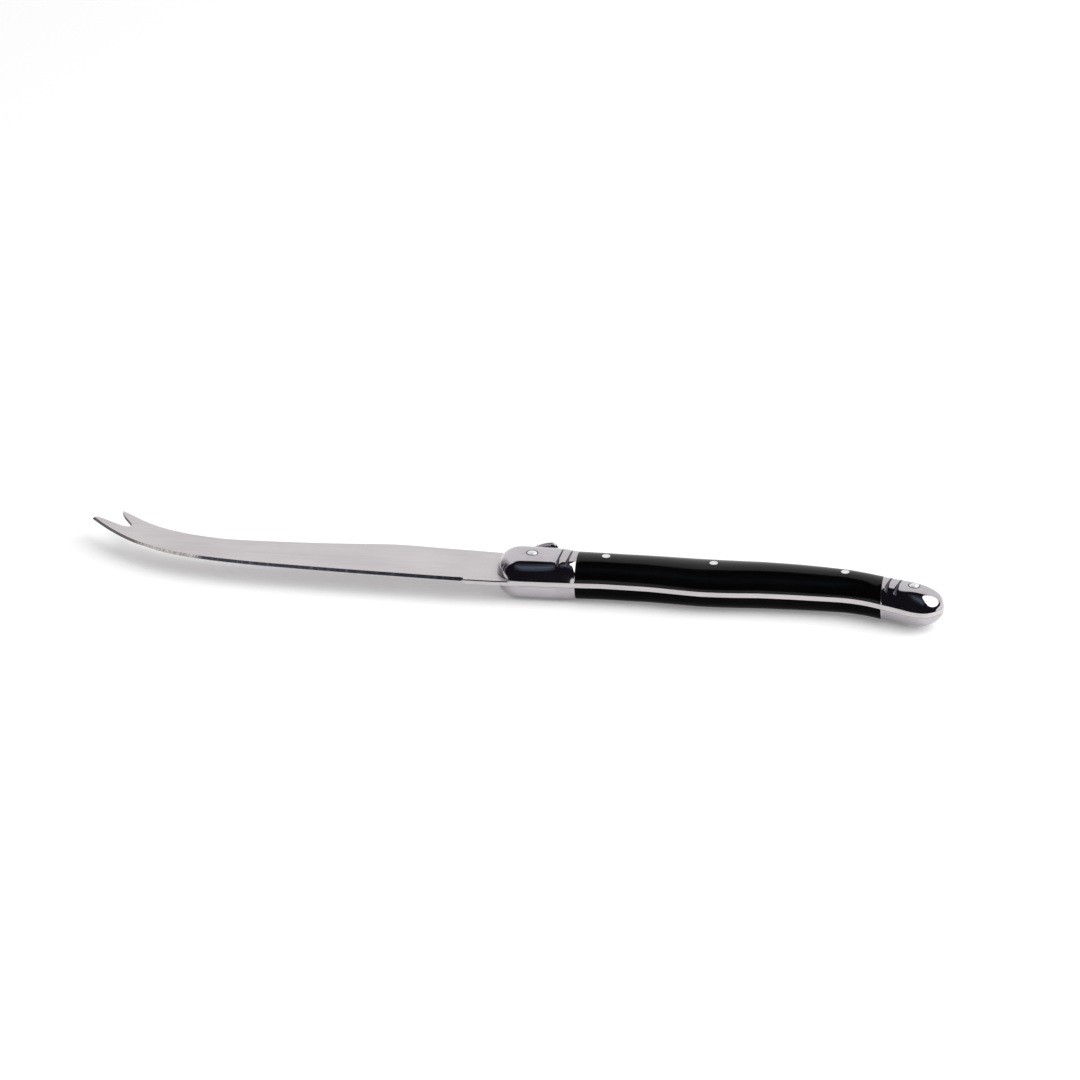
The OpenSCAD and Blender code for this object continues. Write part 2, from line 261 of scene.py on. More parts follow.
@dataclass(frozen=True)
class SatinSteel(Finish):
    """Satin steel of the blade and the tang: streaks along it, a marked bevel, and painted dark
    reflection on the ground part of the bevel and on the arrises.

    The cells of each noise say how many there are in a metre and how many finer layers they have.
    """

    name: str = "satin_steel"
    colour: tuple = (0.635, 0.6, 0.61)
    dark_colour: tuple = (0.51, 0.478, 0.487)
    mark_colour: tuple = (0.34, 0.3, 0.28)
    # the near-black is a painted dark reflection on the ground part of the bevel and on the arrises; its
    # grinding marks are a lighter tone of it
    painted_dark_reflection: tuple = (0.028, 0.03, 0.042)
    marks_in_painted_reflection: tuple = (0.13, 0.13, 0.16)
    prong_colour: tuple = (0.15, 0.135, 0.13)
    metallic: float = 0.78
    roughness: tuple = (0.33, 0.06)
    ground_gloss: float = 0.16
    streak_cells: tuple = (3000.0, 4.0)
    streak_stretch: tuple = (0.02, 1.0, 1.0)
    streak_share: float = 0.4
    cloud_cells: tuple = (90.0, 3.0)
    cloud_stretch: tuple = (0.5, 1.0, 1.0)
    mark_cells: tuple = (4200.0, 3.0)
    mark_stretch: tuple = (1.0, 0.05, 0.05)
    face_patches: tuple = (0.25, 0.75)
    light_marks: tuple = (0.4, 0.62)
    dark_marks: tuple = (0.5, 0.75)
    relief: tuple = (0.00001, 0.4)
    face_tilt: tuple = (0.95, 0.995)
    bevel_tilt: tuple = (0.5, 0.7)
    edge_tilt: tuple = (0.3, 0.5)
    ground_x: tuple = (-0.144, -0.14)
    prong_x: tuple = (-0.161, -0.157)
    handle_x: tuple = (-0.0585, -0.058)
    arris_z: tuple = (0.00623, 0.00631)

    def shade(self, graph: Graph) -> Node:
        """Tells faces, bevel and edges apart by their normals, and parts of the blade by their place.

        Args:
            graph: Graph of the material.

        Returns:
            The shader.
        """
        place = graph.place()
        along, height = graph.part(place, "X"), graph.part(place, "Z")
        normal = graph.add("ShaderNodeNewGeometry", {}, {}).outputs["True Normal"]
        upright, sideways = graph.part(normal, "Z").absolute(), graph.part(normal, "Y").absolute()
        streaks = graph.noise(graph.scaled(place, self.streak_stretch), *self.streak_cells)
        cloud = graph.noise(graph.scaled(place, self.cloud_stretch), *self.cloud_cells)
        marks = graph.noise(graph.scaled(place, self.mark_stretch), *self.mark_cells)
        on_bevel = (1.0 - upright.step(*self.face_tilt)) * upright.step(*self.bevel_tilt)
        on_edge = 1.0 - upright.step(*self.edge_tilt)
        ground = along.step(*self.ground_x)
        prongs = 1.0 - along.step(*self.prong_x)
        free = 1.0 - along.step(*self.handle_x)
        # painted dark reflection also darkens the upper arrises of the free blade
        arris = height.step(*self.arris_z) * free * sideways.step(*self.edge_tilt)
        mottle = streaks * self.streak_share + cloud * (1.0 - self.streak_share)
        face = graph.blend(mottle.step(*self.face_patches), self.dark_colour, self.colour)
        light_bevel = graph.blend(marks.step(*self.light_marks), self.mark_colour, self.colour)
        lines = marks.step(*self.dark_marks)
        # painted dark reflection on the ground part of the bevel, with its grinding marks in a lighter
        # tone
        painted_dark_bevel = graph.blend(lines, self.painted_dark_reflection, self.marks_in_painted_reflection)
        bevel = graph.blend(prongs, graph.blend(ground, light_bevel, painted_dark_bevel), self.prong_colour)
        # painted dark reflection on the arrises and on the prongs' edges
        edge = graph.blend((arris + prongs).step(0.0, 1.0), face, self.painted_dark_reflection)
        dark = (ground + prongs) * on_bevel
        return self.principled(
            graph,
            {
                "Base Color": graph.blend(on_edge, graph.blend(on_bevel, face, bevel), edge),
                "Metallic": self.metallic,
                "Roughness": self.uneven(cloud, *self.roughness) - dark * self.ground_gloss,
                "Normal": graph.bump(streaks * (1.0 - on_bevel) + marks * on_bevel, *self.relief),
            },
        )


@dataclass(frozen=True)
class MirrorSteel(Finish):
    """Polished steel of the bolsters and the tab, with faint wear."""

    name: str = "mirror_steel"
    colour: tuple = (0.51, 0.485, 0.515)
    worn_colour: tuple = (0.46, 0.435, 0.46)
    # painted shade: the dark of the corners that the occlusion finds closed, and of the seam along the
    # tang
    painted_shade_colour: tuple = (0.012, 0.011, 0.013)
    painted_shade_reach: float = 0.0009
    painted_shade_rays: int = 12
    open_corners: tuple = (0.5, 0.88)
    seam_level: float = 0.006
    seam_reach: float = 0.0
    seam_blur: float = 0.00003
    haze_cells: tuple = (180.0, 3.0)
    haze_patches: tuple = (0.35, 0.65)
    roughness: tuple = (0.05, 0.05)
    hair_cells: tuple = (2600.0, 2.0)
    hair_stretch: tuple = (0.1, 1.0, 1.0)
    relief: tuple = (0.000004, 0.12)

    def shade(self, graph: Graph) -> Node:
        """Mirror, hazier in places, with painted shade in the closed corners, also meant as polish left
        there, and in the seam on the tang.

        Args:
            graph: Graph of the material.

        Returns:
            The shader.
        """
        place = graph.place()
        # Painted shade in closed corners, also meant as polish left there, and in a band at the seam on
        # the tang
        corner = graph.add(
            "ShaderNodeAmbientOcclusion", {"samples": self.painted_shade_rays}, {"Distance": self.painted_shade_reach}
        )
        off_tang = (graph.part(place, "Z") - self.seam_level).absolute()
        past_seam = off_tang.step(self.seam_reach - self.seam_blur, self.seam_reach + self.seam_blur)
        unshaded = Value(graph, corner.outputs["AO"]).step(*self.open_corners) * past_seam
        haze = graph.noise(place, *self.haze_cells)
        steel = graph.blend(haze.step(*self.haze_patches), self.worn_colour, self.colour)
        hairs = graph.noise(graph.scaled(place, self.hair_stretch), *self.hair_cells)
        return self.principled(
            graph,
            {
                "Base Color": graph.blend(unshaded, self.painted_shade_colour, steel),
                "Metallic": 1.0,
                "Roughness": self.uneven(haze, *self.roughness),
                "Normal": graph.bump(hairs, *self.relief),
            },
        )


@dataclass(frozen=True)
class Clouded(Finish):
    """A finish in fine clouds of two tones, which make its gloss uneven too."""

    name: str
    tones: tuple
    cells: tuple
    patches: tuple
    roughness: tuple

    def shade(self, graph: Graph) -> Node:
        """Lays the two tones and the gloss, and what the finish adds.

        Args:
            graph: Graph of the material.

        Returns:
            The shader.
        """
        cloud = graph.noise(graph.place(), *self.cells)
        return self.principled(
            graph,
            {
                "Base Color": graph.blend(cloud.step(*self.patches), *self.tones),
                "Roughness": self.uneven(cloud, *self.roughness),
                **self.extras(graph, cloud),
            },
        )

    def extras(self, graph: Graph, cloud: Value) -> dict:
        """Further sockets of the shader."""
        raise NotImplementedError


@dataclass(frozen=True)
class TarnishedSteel(Clouded):
    """Dark steel in the grooves, where the polishing wheel doesn't reach."""

    name: str = "tarnished_steel"
    tones: tuple = ((0.045, 0.043, 0.052), (0.09, 0.088, 0.1))
    cells: tuple = (900.0, 3.0)
    patches: tuple = (0.35, 0.65)
    roughness: tuple = (0.17, 0.1)

    def extras(self, graph: Graph, cloud: Value) -> dict:
        """Metal."""
        return {"Metallic": 1.0}


@dataclass(frozen=True)
class GlossBlack(Clouded):
    """Glossy black of the scales, polished slightly unevenly."""

    name: str = "gloss_black"
    tones: tuple = ((0.0012, 0.0011, 0.0012), (0.0022, 0.002, 0.0022))
    cells: tuple = (120.0, 3.0)
    patches: tuple = (0.4, 0.7)
    roughness: tuple = (0.09, 0.06)
    specular: float = 0.19
    hair_cells: tuple = (1500.0, 2.0)
    hair_stretch: tuple = (0.2, 1.0, 1.0)
    relief: tuple = (0.000005, 0.1)

    def extras(self, graph: Graph, cloud: Value) -> dict:
        """The sheen, and faint hairs along the handle."""
        hairs = graph.noise(graph.scaled(graph.place(), self.hair_stretch), *self.hair_cells)
        return {"Specular IOR Level": self.specular, "Normal": graph.bump(hairs, *self.relief)}


@dataclass(frozen=True)
class BrightSteel(Clouded):
    """Bright steel of the rivets and the pins, with a fine even grain."""

    name: str = "bright_steel"
    tones: tuple = ((0.74, 0.75, 0.77), (0.86, 0.87, 0.89))
    cells: tuple = (3000.0, 3.0)
    patches: tuple = (0.3, 0.7)
    roughness: tuple = (0.41, 0.08)
    relief: tuple = (0.000005, 0.15)

    def extras(self, graph: Graph, cloud: Value) -> dict:
        """Metal with its grain in relief."""
        return {"Metallic": 1.0, "Normal": graph.bump(cloud, *self.relief)}


@dataclass(frozen=True)
class PaleFloor(Finish):
    """Plain pale floor: white in the camera and in reflections, lightly darkened by the shadow."""

    name: str = "pale_floor"
    colour: tuple = (0.86, 0.86, 0.86)
    glow: float = 0.2

    def shade(self, graph: Graph) -> Node:
        """Matt white with a share of its own light for the camera and for reflections.

        Args:
            graph: Graph of the material.

        Returns:
            The shader.
        """
        rays = graph.add("ShaderNodeLightPath", {}, {}).outputs
        seen = Value(graph, rays["Is Camera Ray"]) + Value(graph, rays["Is Glossy Ray"])
        seen = (seen + Value(graph, rays["Is Transmission Ray"])).step(0.0, 1.0)
        matt = graph.add("ShaderNodeBsdfDiffuse", {}, {"Color": (*self.colour, 1)})
        shining = {"Color": (*WHITE, 1), "Strength": seen * self.glow}
        light = graph.add("ShaderNodeEmission", {}, shining)
        return graph.add("ShaderNodeAddShader", {}, {0: matt.outputs[0], 1: light.outputs[0]})


class Shape:
    """Edit-mode helpers that the classes of the pieces share."""

    @staticmethod
    def clear() -> None:
        """Leaves edit mode and deselects every object."""
        if bpy.context.object and bpy.context.object.mode != "OBJECT":
            bpy.ops.object.mode_set(mode="OBJECT")
        bpy.ops.object.select_all(action="DESELECT")

    @staticmethod
    def pick(piece: Object) -> None:
        """Selects one piece alone and makes it active.

        Args:
            piece: The piece.
        """
        Shape.clear()
        piece.select_set(True)
        bpy.context.view_layer.objects.active = piece

    @staticmethod
    def apply_place(piece: Object) -> None:
        """Moves a piece's place into its mesh."""
        Shape.pick(piece)
        bpy.ops.object.transform_apply(location=True, rotation=True, scale=True)

    @staticmethod
    def settled(name: str) -> Object:
        """Names the new primitive and moves its place into its mesh.

        Args:
            name: Its name.

        Returns:
            The primitive.
        """
        piece = bpy.context.object
        piece.name = piece.data.name = name
        Shape.apply_place(piece)
        return piece

    @staticmethod
    def shift(x: float, y: float) -> None:
        """Moves what is selected along the handle and across it, in millimetres."""
        bpy.ops.transform.translate(value=(x * MM, y * MM, 0), orient_type="GLOBAL")

    @staticmethod
    def stretch(factors: tuple, centre: tuple) -> None:
        """Resizes what is selected by a factor for each axis, about a place in metres."""
        bpy.ops.transform.resize(value=factors, center_override=centre, orient_type="GLOBAL")

    @staticmethod
    def tidy(piece: Object) -> None:
        """Merges doubles and turns all faces outwards.

        Args:
            piece: The piece.
        """
        Shape.pick(piece)
        bpy.ops.object.mode_set(mode="EDIT")
        bpy.ops.mesh.select_all(action="SELECT")
        bpy.ops.mesh.remove_doubles(threshold=MERGE)
        bpy.ops.mesh.normals_make_consistent(inside=False)
        bpy.ops.object.mode_set(mode="OBJECT")

    @staticmethod
    def combine(piece: Object, tool: Object, join: Join) -> None:
        """Cuts a piece with a second solid or adds that to it, and removes the solid.

        Args:
            piece: The piece that is changed.
            tool: The second solid.
            join: What it does.
        """
        Shape.pick(piece)
        modifier = piece.modifiers.new("with_" + tool.name, "BOOLEAN")
        modifier.operation = join.value
        modifier.solver = "EXACT"
        modifier.object = tool
        bpy.ops.object.modifier_apply(modifier=modifier.name)
        bpy.data.objects.remove(tool)

    @staticmethod
    def smooth(piece: Object, degrees: float) -> None:
        """Shades a piece smooth, apart from edges sharper than an angle."""
        Shape.pick(piece)
        bpy.ops.object.shade_smooth_by_angle(angle=math.radians(degrees))

    @staticmethod
    def select_vertices(piece: Object, wanted: Callable) -> None:
        """Enters edit mode with the vertices selected whose place passes a test.

        Args:
            piece: The piece.
            wanted: Test of a vertex's place.
        """
        Shape.pick(piece)
        bpy.ops.object.mode_set(mode="EDIT")
        bpy.ops.mesh.select_mode(type="VERT")
        mesh = bmesh.from_edit_mesh(piece.data)
        for v in mesh.verts:
            v.select_set(wanted(v.co))
        mesh.select_flush_mode()
        bmesh.update_edit_mesh(piece.data)

    @staticmethod
    def bevel_edges(piece: Object, wanted: Callable, radius: float, segments: int) -> None:
        """Rounds the edges whose two ends pass a test.

        Args:
            piece: The piece.
            wanted: Test of the places of an edge's ends.
            radius: Radius in millimetres.
            segments: Steps of the round.
        """
        Shape.pick(piece)
        bpy.ops.object.mode_set(mode="EDIT")
        bpy.ops.mesh.select_mode(type="EDGE")
        bpy.ops.mesh.select_all(action="DESELECT")
        mesh = bmesh.from_edit_mesh(piece.data)
        for e in mesh.edges:
            e.select_set(wanted(e.verts[0].co, e.verts[1].co))
        bmesh.update_edit_mesh(piece.data)
        bpy.ops.mesh.bevel(
            offset_type="OFFSET", offset=radius * MM, segments=segments, profile=ROUND, affect="EDGES"
        )
        bpy.ops.mesh.select_mode(type="VERT")
        bpy.ops.object.mode_set(mode="OBJECT")

    @staticmethod
    def round_end(piece: Object, x: float, seat_z: float, radius: float) -> None:
        """Rounds the curved rim of a flat end face, whose straight edge on the seat stays sharp.

        Args:
            piece: The piece.
            x: Place of the end face, in millimetres.
            seat_z: Height of the seat.
            radius: Radius in millimetres.
        """

        def on_rim(a: Vector, b: Vector) -> bool:
            """Whether an edge lies on the end face and above the seat."""
            on_face = max(abs(a.x - x * MM), abs(b.x - x * MM)) < HAIR
            return on_face and max(a.z, b.z) > (seat_z + END_LIFT) * MM

        Shape.bevel_edges(piece, on_rim, radius, END_SEGMENTS)

    @staticmethod
    def round_sharp(piece: Object, degrees: float, radius: float, segments: int) -> None:
        """Rounds all edges sharper than an angle.

        Args:
            piece: The piece.
            degrees: The angle.
            radius: Radius in millimetres.
            segments: Steps of the round.
        """
        Shape.pick(piece)
        modifier = piece.modifiers.new("soft_edges", "BEVEL")
        modifier.limit_method = "ANGLE"
        modifier.angle_limit = math.radians(degrees)
        modifier.width = radius * MM
        modifier.segments = segments
        bpy.ops.object.modifier_apply(modifier=modifier.name)

    @staticmethod
    def mirrored(piece: Object, name: str, mid_z: float) -> Object:
        """Copies a piece to the other face of the tang.

        Args:
            piece: The piece on the upper face.
            name: Name of the copy.
            mid_z: Height of the middle plane, in millimetres.

        Returns:
            The copy, with its own mesh.
        """
        Shape.pick(piece)
        bpy.ops.object.duplicate(linked=False)
        copy = bpy.context.object
        copy.name = copy.data.name = name
        copy.scale = (1, 1, -1)
        copy.location = (0, 0, 2 * mid_z * MM)
        Shape.apply_place(copy)
        Shape.tidy(copy)
        return copy


@dataclass
class Section:
    """One cross-section: how square it is at belly and spine, and how much its sides lean in."""

    square: float
    spine_square: float
    draft: float


@dataclass
class HandleForm:
    """The form of the handle that scales and bolsters share, in millimetres as in the CAD source."""

    nose_x: float = -62.0
    front_joint_x: float = -40.5
    rear_joint_x: float = 40.5
    butt_x: float = 57.0
    width: float = 15.0
    thickness: float = 12.0
    sheet: float = 1.3
    nose_width_run: float = 7.5
    nose_height_run: float = 6.0
    butt_width_run: float = 11.0
    butt_height_run: float = 10.0
    bluntness: float = 2.2
    end_land: float = 0.02
    seat_gap: float = 0.01
    skin: float = 0.02
    arc_steps: int = 18
    belly: tuple = (
        (0, -0.54), (0.07, -0.51), (0.16, -0.47), (0.25, -0.42), (0.33, -0.42), (0.41, -0.465),
        (0.46, -0.49), (0.52, -0.465), (0.6, -0.4), (0.68, -0.38), (0.77, -0.375), (0.82, -0.43),
        (0.86, -0.54), (0.9, -0.66), (0.94, -0.8), (0.97, -0.87), (1, -0.87),
    )
    spine: tuple = (
        (0, 0.48), (0.1, 0.465), (0.19, 0.405), (0.26, 0.405), (0.33, 0.42), (0.48, 0.445), (0.6, 0.455),
        (0.68, 0.445), (0.77, 0.38), (0.82, 0.29), (0.86, 0.2), (0.91, 0.11), (0.96, 0.07), (1, 0.06),
    )
    crest: tuple = (
        (0, 0.47), (0.1, 0.475), (0.17, 0.5), (0.58, 0.5), (0.77, 0.472), (0.86, 0.46), (1, 0.455),
    )

    @property
    def mid_z(self) -> float:
        """Height of the middle plane of the steel."""
        return self.thickness / 2

    @property
    def face_z(self) -> float:
        """Height of the upper face of the tang."""
        return self.mid_z + self.sheet / 2

    @property
    def seat_z(self) -> float:
        """Height of the seats on it, a hair above, so that the cut misses the sections' corners."""
        return self.face_z + self.seat_gap

    @staticmethod
    def follow(table: tuple, place: float) -> float:
        """Value of a smooth curve through the points of a table.

        Args:
            table: Points of the curve, as place and value.
            place: Where it is read.

        Returns:
            The value there.
        """
        rises = [(b[1] - a[1]) / (b[0] - a[0]) for a, b in zip(table, table[1:])]
        bends = [0.0 if a * b <= 0 else 2 * a * b / (a + b) for a, b in zip(rises, rises[1:])]
        slopes = [rises[0], *bends, rises[-1]]
        i = max(k for k in range(len(table) - 1) if k == 0 or table[k][0] <= place)
        width = table[i + 1][0] - table[i][0]
        u = (place - table[i][0]) / width
        return (
            (2 * u**3 - 3 * u**2 + 1) * table[i][1]
            + (3 * u**2 - 2 * u**3) * table[i + 1][1]
            + (u**3 - 2 * u**2 + u) * width * slopes[i]
            + (u**3 - u**2) * width * slopes[i + 1]
        )

    def section(self, place: float, *tables: tuple) -> Section:
        """Cross-section whose values the tables give at a place."""
        return Section(*(self.follow(table, place) for table in tables))

    def share(self, x: float) -> float:
        """Share of the handle's length from the nose."""
        return (x - self.nose_x) / (self.butt_x - self.nose_x)

    def rounded(self, distance: float, run: float) -> float:
        """Share of the full size at a distance from a rounded end."""
        short = 1 - min(max(distance / run, 0), 1)
        return (1 - short**self.bluntness) ** (1 / self.bluntness)

    def belly_y(self, x: float) -> float:
        """Place of the belly."""
        return self.width * self.follow(self.belly, self.share(x))

    def spine_y(self, x: float) -> float:
        """Place of the spine."""
        return self.width * self.follow(self.spine, self.share(x))

    def centre_y(self, x: float) -> float:
        """Middle between belly and spine."""
        return (self.belly_y(x) + self.spine_y(x)) / 2

    def crest_z(self, x: float) -> float:
        """Height of the crest above the table."""
        return self.mid_z + self.thickness * self.follow(self.crest, self.share(x))

    def half_width(self, x: float) -> float:
        """Half of the width of a shell, a hair inside the edges of the steel."""
        full = (self.spine_y(x) - self.belly_y(x)) / 2 - self.skin
        return (
            full
            * self.rounded(self.butt_x - x, self.butt_width_run)
            * self.rounded(x - self.nose_x, self.nose_width_run)
        )

    def height(self, x: float) -> float:
        """Height of a shell above the face of the tang."""
        return (
            (self.crest_z(x) - self.face_z)
            * self.rounded(x - self.nose_x, self.nose_height_run)
            * self.rounded(self.butt_x - x, self.butt_height_run)
        )


@dataclass
class Shell:
    """Lofts a half of the handle through sections, each an eight-sided face with bevelled corners.

    Corners are told apart by shares of the half-width and the height: off an axis, off the centre,
    and level with the top or the bottom.
    """

    form: HandleForm
    sides: int = 8
    off_axis: float = 1 / 9
    off_centre: float = 1 / 2
    level: float = 0.001

    def loft(self, name: str, places: list, section_at: Callable) -> Object:
        """Makes the closed half on the upper face of the tang.

        Args:
            name: Name of the piece.
            places: Places of its sections, in millimetres.
            section_at: Gives the cross-section at a place.

        Returns:
            The half.
        """
        Shape.clear()
        piece = None
        for x in places:
            spot = (x * MM, self.form.centre_y(x) * MM, self.form.face_z * MM)
            bpy.ops.mesh.primitive_circle_add(
                vertices=self.sides,
                radius=MM,
                fill_type="NGON",
                location=spot,
                rotation=(0, math.pi / 2, 0),
            )
            if piece is None:
                piece = Shape.settled(name)
                bpy.ops.object.mode_set(mode="EDIT")
                bpy.ops.mesh.select_all(action="SELECT")
            self._form_ring(piece, x, spot, section_at(x))
        bpy.ops.mesh.select_all(action="SELECT")
        bpy.ops.mesh.remove_doubles(threshold=FINE)
        bpy.ops.mesh.delete(type="ONLY_FACE")
        bpy.ops.mesh.select_all(action="SELECT")
        bpy.ops.mesh.bridge_edge_loops(type="SINGLE")
        bpy.ops.mesh.select_all(action="SELECT")
        bpy.ops.mesh.fill_holes(sides=0)
        bpy.ops.mesh.select_all(action="SELECT")
        bpy.ops.mesh.bisect(
            plane_co=(0, 0, self.form.seat_z * MM),
            plane_no=(0, 0, 1),
            clear_inner=True,
            use_fill=True,
            threshold=FINE,
        )
        bpy.ops.object.mode_set(mode="OBJECT")
        Shape.tidy(piece)
        return piece

    def _form_ring(self, piece: Object, x: float, spot: tuple, section: Section) -> None:
        """Turns the newest face into a rectangle, leans its sides in and bevels its corners.

        Args:
            piece: The piece that the face belongs to.
            x: Place of the section, in millimetres.
            spot: Its middle, in metres.
            section: What the section is like.
        """
        wide, tall = self.form.half_width(x) * MM, self.form.height(x) * MM
        Shape.stretch((1, wide / MM, tall / MM), spot)
        grow = math.sqrt(2)
        beside, over = wide * self.off_axis, tall * self.off_axis
        for above, lean in ((1, 1 - section.draft), (-1, 1 + section.draft)):
            self._pick_corners(piece, spot, lambda right, up: abs(right) > beside and above * up > over)
            Shape.stretch((1, grow * lean, grow), spot)
        beside, slack = wide * self.off_centre, tall * self.level
        for side, square in ((-1, section.square), (1, section.spine_square)):
            self._pick_corners(
                piece, spot, lambda right, up: side * right > beside and abs(abs(up) - tall) < slack
            )
            bpy.ops.mesh.bevel(
                offset_type="PERCENT",
                offset_pct=100,
                segments=self.form.arc_steps,
                profile=ROUND ** (2 / square),
                affect="VERTICES",
            )
        bpy.ops.mesh.select_all(action="DESELECT")

    @staticmethod
    def _pick_corners(piece: Object, spot: tuple, wanted: Callable) -> None:
        """Selects vertices of one section.

        Args:
            piece: The piece.
            spot: Middle of the section, in metres.
            wanted: Test of a vertex's places beside the spot and above it.
        """
        mesh = bmesh.from_edit_mesh(piece.data)
        for v in mesh.verts:
            along, right, up = v.co - Vector(spot)
            v.select_set(abs(along) < FINE and wanted(right, up))
        mesh.select_flush_mode()
        bmesh.update_edit_mesh(piece.data)


class Cutters:
    """Solids that cut holes, recesses and grooves into the halves of the handle, in millimetres."""

    round_steps: int = 64
    groove_steps: int = 48

    @staticmethod
    def drill(x: float, y: float, low_z: float, high_z: float, radius: float) -> Object:
        """Upright round cutter.

        Args:
            x: Place along the handle.
            y: Place across it.
            low_z: Height of its lower end.
            high_z: Height of its upper end.
            radius: Its radius.

        Returns:
            The cutter.
        """
        Shape.clear()
        bpy.ops.mesh.primitive_cylinder_add(
            vertices=Cutters.round_steps,
            radius=radius * MM,
            depth=(high_z - low_z) * MM,
            location=(x * MM, y * MM, (low_z + high_z) / 2 * MM),
        )
        return Shape.settled("drill")

    @staticmethod
    def block(name: str, middle: tuple, size: tuple) -> Object:
        """Cube drawn out to a block, as a start for edit mode or as a cutter.

        Args:
            name: Its name.
            middle: Its middle.
            size: Its length, depth and height.

        Returns:
            The block.
        """
        Shape.clear()
        place, scale = ([v * MM for v in values] for values in (middle, size))
        bpy.ops.mesh.primitive_cube_add(size=1, location=place, scale=scale)
        return Shape.settled(name)

    @staticmethod
    def groove(narrow: Vector, wide: Vector, radii: tuple) -> Object:
        """Cutter of a groove across the crest that widens towards the belly.

        Args:
            narrow: Middle of its narrow end.
            wide: Middle of its wide end.
            radii: Radius of the narrow and of the wide end.

        Returns:
            The cutter.
        """
        Shape.clear()
        run = wide - narrow
        bpy.ops.mesh.primitive_cone_add(
            vertices=Cutters.groove_steps,
            radius1=radii[0] * MM,
            radius2=radii[1] * MM,
            depth=run.length * MM,
            location=(narrow + wide) / 2 * MM,
            rotation=run.to_track_quat("Z", "Y").to_euler(),
        )
        return Shape.settled("groove")


@dataclass
class Scales:
    """The two black scales, from bolster to bolster, drilled for the pins."""

    form: HandleForm
    steps: int = 80
    pin_hole_r: float = 1.12
    edge_r: float = 0.1
    pin_places: tuple = (-33.1, -4.5, 30.3)
    square: tuple = ((0, 2.4), (0.24, 2.3), (0.45, 2.2), (0.7, 2.2), (0.86, 2.4), (1, 2.4))
    draft: tuple = ((0, 0.1), (0.5, 0.1), (0.7, 0.12), (0.83, 0.17), (1, 0.17))
    # the lower scale's weaker sheen paints shade into the floor's reflection in it
    sheens: tuple = (0.19, 0.02)
    smooth_deg: float = 35.0

    def section(self, x: float) -> Section:
        """Cross-section at a place."""
        return self.form.section(self.form.share(x), self.square, self.square, self.draft)

    def build(self) -> list:
        """Makes the upper scale and its mirrored copy.

        Returns:
            The two scales.
        """
        form = self.form
        length = form.rear_joint_x - form.front_joint_x
        places = [form.front_joint_x + length * k / self.steps for k in range(self.steps + 1)]
        upper = Shell(form).loft("black_scale_upper", places, self.section)
        for joint in (form.front_joint_x, form.rear_joint_x):
            Shape.round_end(upper, joint, form.seat_z, self.edge_r)
        for x in self.pin_places:
            low, high = form.mid_z - OVERRUN, form.crest_z(x) + OVERRUN
            drill = Cutters.drill(x, form.centre_y(x), low, high, self.pin_hole_r)
            Shape.combine(upper, drill, Join.CUT)
        Shape.smooth(upper, self.smooth_deg)
        return [upper, Shape.mirrored(upper, "black_scale_lower", form.mid_z)]

    def dress(self, pieces: list) -> None:
        """Gives both scales their black, and the lower one less sheen: painted shade on the floor it
        mirrors.
        """
        for piece, specular in zip(pieces, self.sheens):
            GlossBlack(specular=specular).dress(piece)


